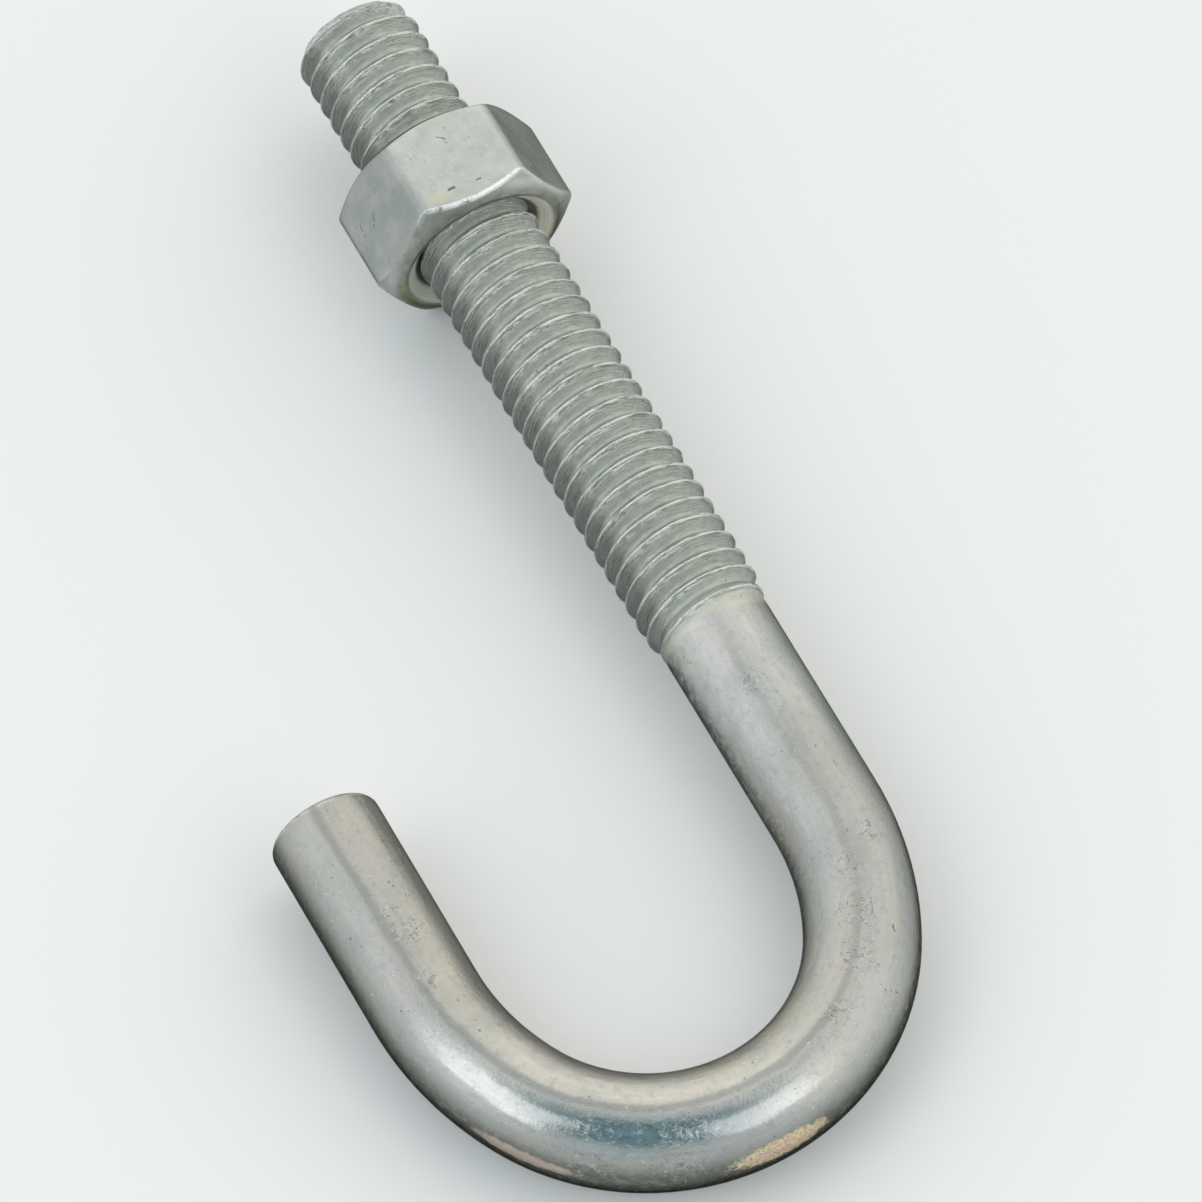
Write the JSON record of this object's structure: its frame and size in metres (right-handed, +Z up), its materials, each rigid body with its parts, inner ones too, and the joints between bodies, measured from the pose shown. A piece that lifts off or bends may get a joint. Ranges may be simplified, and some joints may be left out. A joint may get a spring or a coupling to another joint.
{
  "type": "j bolt",
  "caption": "Zinc-plated steel J bolt: a threaded shank bent into an open hook at its plain end, with a hex nut run onto the thread.",
  "frame": {"origin": "under the middle of the part's box, on the surface it lies on", "axes": "+Z up from the surface, +Y along the shank towards its threaded end, raised 2.3 degrees, return leg of the hook on the -X side"},
  "size_m": [0.0444, 0.0961, 0.0144],
  "materials": {
    "plated_rod": "satin bright zinc plating, worn, with faint yellow and blue tints",
    "plated_nut": "satin bright zinc plating, with light scratches and a small nick"
  },
  "bodies": {
    "bolt": {"j_bolt": "plated_rod"},
    "nut": {"hex_nut": "plated_nut"}
  },
  "joints": [
    {"name": "nut_travel", "type": "slide", "parent": "bolt", "child": "nut", "axis": [0, 0.9992, 0.0395], "range_m": [-0.03175, 0.02223]}
  ]
}
